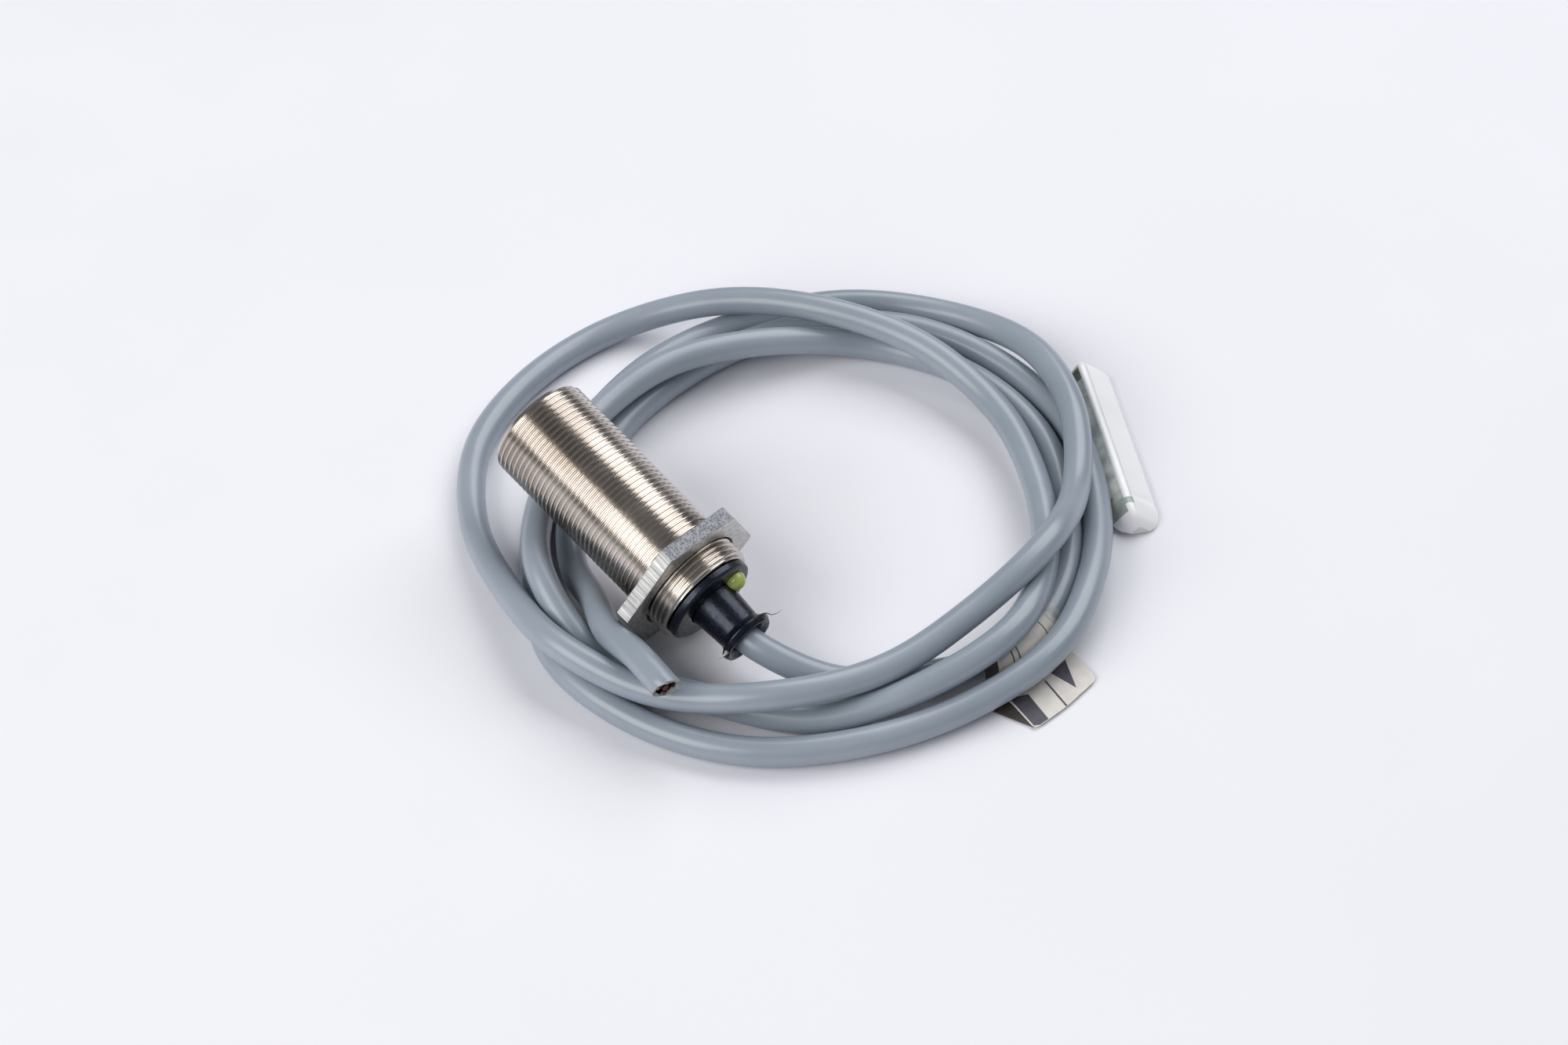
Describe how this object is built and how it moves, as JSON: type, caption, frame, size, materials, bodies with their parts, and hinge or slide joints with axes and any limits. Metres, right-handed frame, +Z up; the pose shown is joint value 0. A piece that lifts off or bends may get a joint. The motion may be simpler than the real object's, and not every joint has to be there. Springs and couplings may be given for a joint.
{
  "type": "inductive proximity sensor",
  "caption": "Cylindrical inductive proximity sensor with a threaded nickel-plated sleeve, hex nut, status lamp and a loose grey cable with a cut end",
  "frame": {"origin": "centre of the sensor's bounding box without the cable, on the resting surface", "axes": "+X along the sensor, level, towards the sensing face; +Z up; +Y completes the right hand. The sleeve itself rises 15.6 degrees towards its front"},
  "size_m": [0.1164, 0.1179, 0.0298],
  "materials": {
    "nickel_brass": "nickel plated, worn, satin sheen",
    "nut_nickel": "nickel plated, scratched",
    "black_plastic": "moulded, glossy, slightly scuffed",
    "face_plastic": "moulded, matte",
    "ferrite": "sintered, matte",
    "bobbin_plastic": "moulded",
    "copper_winding": "enamelled wire",
    "holder_plastic": "moulded",
    "board_laminate": "solder mask",
    "chip_epoxy": "moulded epoxy",
    "component_ceramic": "smooth",
    "lamp_plastic": "translucent, clear dome",
    "bare_wire": "tinned",
    "gasket_rubber": "matte",
    "cable_jacket_grey": "smooth, satin",
    "core_brown_plastic": "insulation",
    "core_blue_plastic": "insulation",
    "core_black_plastic": "insulation",
    "label_paper": "printed, slightly soiled",
    "tag_plastic": "translucent, soft",
    "tie_plastic": "aged"
  },
  "bodies": {
    "sensor": {"threaded_barrel": "nickel_brass", "sensing_face": "face_plastic", "ferrite_core": "ferrite", "coil_bobbin": "bobbin_plastic", "sensing_coil": "copper_winding", "core_holder": "holder_plastic", "circuit_board": "board_laminate", "oscillator_chip": "chip_epoxy", "output_transistor": "chip_epoxy", "filter_capacitor": "component_ceramic", "coupling_capacitor": "component_ceramic", "load_resistor": "chip_epoxy", "trim_resistor": "chip_epoxy", "protection_diode": "component_ceramic", "rear_cap": "black_plastic", "cap_gasket": "gasket_rubber", "strain_relief": "black_plastic", "status_led": "lamp_plastic", "led_lead_a": "bare_wire", "led_lead_b": "bare_wire", "cable_clamp": "bare_wire", "core_brown": "core_brown_plastic", "core_blue": "core_blue_plastic", "core_black": "core_black_plastic", "cable_jacket": "cable_jacket_grey", "cut_core_brown": "core_brown_plastic", "cut_core_blue": "core_blue_plastic", "cut_core_black": "core_black_plastic", "cable_label": "label_paper", "cable_tag": "tag_plastic", "tag_tie": "tie_plastic"},
    "nut": {"hex_nut": "nut_nickel"}
  },
  "joints": [
    {"name": "nut_travel", "type": "slide", "parent": "sensor", "child": "nut", "axis": [0.9632, 0, 0.2689], "range_m": [-0.0035, 0.0003]}
  ]
}
